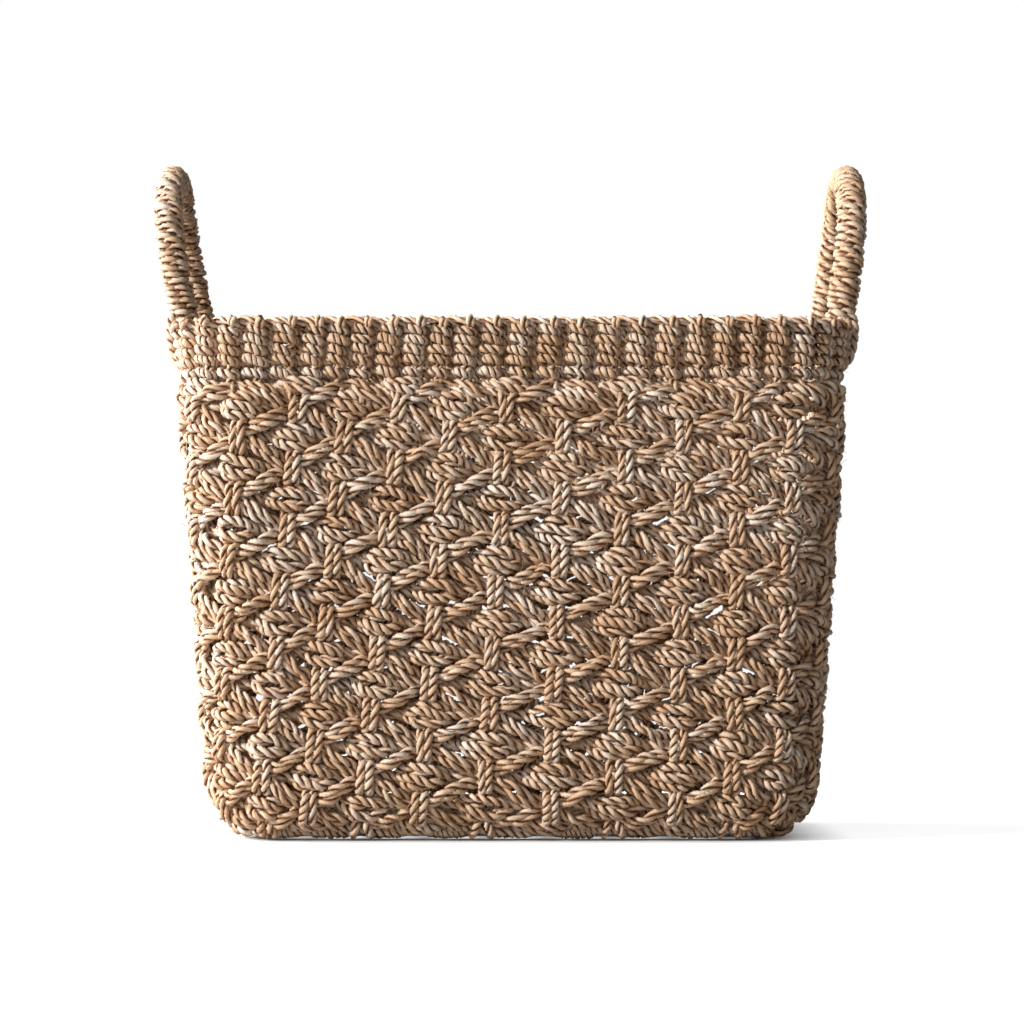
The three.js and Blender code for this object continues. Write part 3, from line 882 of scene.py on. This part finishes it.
def make_fibres(material):
    """Loose ends of fibre that stand off the cords all round the basket."""
    points, normals = fibre_paths()
    side = np.cross(unit(np.gradient(points, axis=1)), normals)
    around = angles_round(FIBRE_SIDES)
    rings = points[:, :, None] + FIBRE_RADIUS * (
        np.cos(around)[:, None] * normals[:, :, None] + np.sin(around)[:, None] * side[:, :, None])
    along = np.linspace(0, 1, FIBRE_STEPS)
    strands = Strands()
    for ring in rings:
        strands.add_ply(ring, along, np.zeros(FIBRE_SIDES), rng.uniform(0, 1), closed=False)
    piece = strands.make("loose_fibres", material)
    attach(piece, "basket")


# Materials


def add_node(tree, kind, inputs, **settings):
    """A shader node, whose inputs take values or the outputs of other nodes."""
    node = tree.nodes.new(kind)
    for name, value in settings.items():
        setattr(node, name, value)
    for socket, value in inputs.items():
        if isinstance(value, bpy.types.NodeSocket):
            tree.links.new(value, node.inputs[socket])
        else:
            node.inputs[socket].default_value = value
    return node


def add_math(tree, operation, *values):
    """The result of a calculation with values or the outputs of other nodes."""
    inputs = dict(enumerate(values))
    return add_node(tree, "ShaderNodeMath", inputs, operation=operation).outputs["Value"]


def add_noise(tree, vector, scale, **inputs):
    """Soft noise at a number of waves in each unit of the vector."""
    node = add_node(tree, "ShaderNodeTexNoise", {"Vector": vector, "Scale": scale, **inputs})
    return node.outputs["Fac"]


def add_range(tree, value, start, end, share):
    """A share that rises from zero to its full size between two values."""
    inputs = {"Value": value, "From Min": start, "From Max": end, "To Max": share}
    return add_node(tree, "ShaderNodeMapRange", inputs).outputs["Result"]


def add_blend(tree, share, first, second):
    """A colour between two others."""
    inputs = {"Fac": share, "Color1": first, "Color2": second}
    return add_node(tree, "ShaderNodeMixRGB", inputs).outputs["Color"]


def straw_colour(tree, streaks, place):
    """Straw from dark to pale: a tone for each cord, streaks along its fibres and soft patches."""
    tone = add_node(tree, "ShaderNodeAttribute", {}, attribute_name="tone").outputs["Fac"]
    patches = add_noise(tree, place, PATCH_SCALE)
    fine = add_math(tree, "MULTIPLY", streaks, STREAK_SHARE)
    total = add_math(tree, "MULTIPLY_ADD", tone, CORD_TONE_SHARE, fine)
    total = add_math(tree, "MULTIPLY_ADD", patches, PATCH_SHARE, total)
    ramp = add_node(tree, "ShaderNodeValToRGB", {"Fac": total})
    dark, pale = ramp.color_ramp.elements
    dark.position = DARK_SHARE
    dark.color = DARK_STRAW
    pale.position = PALE_SHARE
    pale.color = PALE_STRAW
    ramp.color_ramp.elements.new(STRAW_SHARE).color = STRAW
    return ramp.outputs["Color"]


def rope_material():
    """Dry straw-coloured cord, with rusty spots, and painted shade: a darker brown on the sides of the
    plies that face each other, in the creases between them.
    """
    material = bpy.data.materials.new("straw_cord")
    material.use_nodes = True
    tree = material.node_tree
    fibre = add_node(tree, "ShaderNodeAttribute", {}, attribute_name="fibre").outputs["Vector"]
    place = add_node(tree, "ShaderNodeTexCoord", {}).outputs["Object"]
    stretch = add_node(tree, "ShaderNodeVectorMath", {0: fibre, 1: STREAK_SCALES}, operation="MULTIPLY")
    streaks = add_noise(tree, stretch.outputs["Vector"], 1, Detail=STREAK_DETAIL)
    colour = straw_colour(tree, streaks, place)
    spots = add_noise(tree, place, RUST_SCALE)
    rusty = add_range(tree, spots, RUST_START_SHARE, RUST_END_SHARE, RUST_SHARE)
    colour = add_blend(tree, rusty, colour, RUST)
    # Painted shade: the sides of the plies that face each other are darkened towards the crease colour,
    # where shade falls between them.
    facing = add_node(tree, "ShaderNodeSeparateXYZ", {"Vector": fibre}).outputs["Y"]
    inner = add_range(tree, facing, CREASE_SHADE_START_SHARE, CREASE_SHADE_END_SHARE, 1)
    colour = add_blend(tree, inner, colour, CREASE_SHADE_COLOUR)
    bump_inputs = {"Strength": BUMP_STRENGTH, "Distance": BUMP_HEIGHT, "Height": streaks}
    bump = add_node(tree, "ShaderNodeBump", bump_inputs)
    shader = tree.nodes["Principled BSDF"]
    shader.inputs["Roughness"].default_value = STRAW_ROUGHNESS
    shader.inputs["Specular IOR Level"].default_value = STRAW_SPECULAR
    tree.links.new(colour, shader.inputs["Base Color"])
    tree.links.new(bump.outputs["Normal"], shader.inputs["Normal"])
    return material


def floor_material():
    """A floor that glows white for the camera, with a painted contact shadow: the glow is dimmed by
    ambient occlusion where the basket stands close to it.
    """
    material = bpy.data.materials.new("floor_white")
    material.use_nodes = True
    tree = material.node_tree
    seen = add_node(tree, "ShaderNodeLightPath", {}).outputs["Is Camera Ray"]
    glow = add_math(tree, "MULTIPLY", seen, FLOOR_GLOW)
    # Painted shadow: the glow is dimmed by ambient occlusion where the basket stands close to the
    # floor.
    contact_shadow = add_node(tree, "ShaderNodeAmbientOcclusion", {"Distance": CONTACT_SHADOW_REACH})
    shader = tree.nodes["Principled BSDF"]
    shader.inputs["Base Color"].default_value = FLOOR_COLOUR
    shader.inputs["Roughness"].default_value = 1
    shader.inputs["Emission Color"].default_value = WHITE
    strength = add_math(tree, "MULTIPLY", glow, contact_shadow.outputs["AO"])
    tree.links.new(strength, shader.inputs["Emission Strength"])
    return material


# Camera, stage and lights


def make_camera():
    """The photograph's view: straight on, with the eye a little below the basket's middle."""
    data = bpy.data.cameras.new("camera")
    data.sensor_width = SENSOR_WIDTH_MM
    data.lens = data.sensor_width * CAMERA_DISTANCE / (METRES_PER_PX * PHOTO_SIZE_PX)
    data.shift_y = (PHOTO_EYE_PX - PHOTO_MIDDLE_PX) / PHOTO_SIZE_PX
    camera = add_object("camera", data)
    camera.location = (0, -RIM_HALF_DEPTH - CAMERA_DISTANCE, EYE_HEIGHT)
    camera.rotation_euler = (math.pi / 2, 0, 0)
    bpy.context.scene.camera = camera


def make_floor():
    """A white floor that keeps the basket's shadow, with a painted contact shadow that is darkest where
    the two touch.
    """
    mesh = bpy.data.meshes.new("floor")
    signs = ((-1, -1), (1, -1), (1, 1), (-1, 1))
    corners = [(x * FLOOR_HALF_SIZE, y * FLOOR_HALF_SIZE, 0) for x, y in signs]
    mesh.from_pydata(corners, [], [range(len(corners))])
    mesh.materials.append(floor_material())
    add_object("floor", mesh)


def make_world():
    """Faint light all round, with white behind the object for the camera and reflections."""
    world = bpy.data.worlds.new("studio")
    bpy.context.scene.world = world
    world.use_nodes = True
    tree = world.node_tree
    rays = add_node(tree, "ShaderNodeLightPath", {}).outputs
    seen = add_math(tree, "MAXIMUM", rays["Is Camera Ray"], rays["Is Glossy Ray"])
    seen = add_math(tree, "MAXIMUM", seen, rays["Is Transmission Ray"])
    strength = add_math(tree, "MULTIPLY_ADD", seen, 1 - WORLD_LIGHT, WORLD_LIGHT)
    background = tree.nodes["Background"]
    background.inputs["Color"].default_value = WHITE
    tree.links.new(strength, background.inputs["Strength"])


def add_lamp(name, place, size, power):
    """A square soft lamp aimed at the basket's middle."""
    data = bpy.data.lights.new(name, "AREA")
    data.size = size
    data.energy = power
    lamp = add_object(name, data)
    lamp.location = place
    aim = Vector((0, 0, RIM_BAND_TOP / 2)) - lamp.location
    lamp.rotation_euler = aim.to_track_quat("-Z", "Y").to_euler()


make_camera()
make_world()
make_floor()
for lamp_name, lamp_settings in LAMPS.items():
    add_lamp(lamp_name, *lamp_settings)
straw = rope_material()
make_body_rows(straw)
make_rim(straw)
make_base_edge(straw)
make_stakes(straw)
make_base(straw)
make_handle("left", -1, straw)
make_handle("right", 1, straw)
make_fibres(straw)
bpy.context.scene.view_settings.view_transform = "Standard"
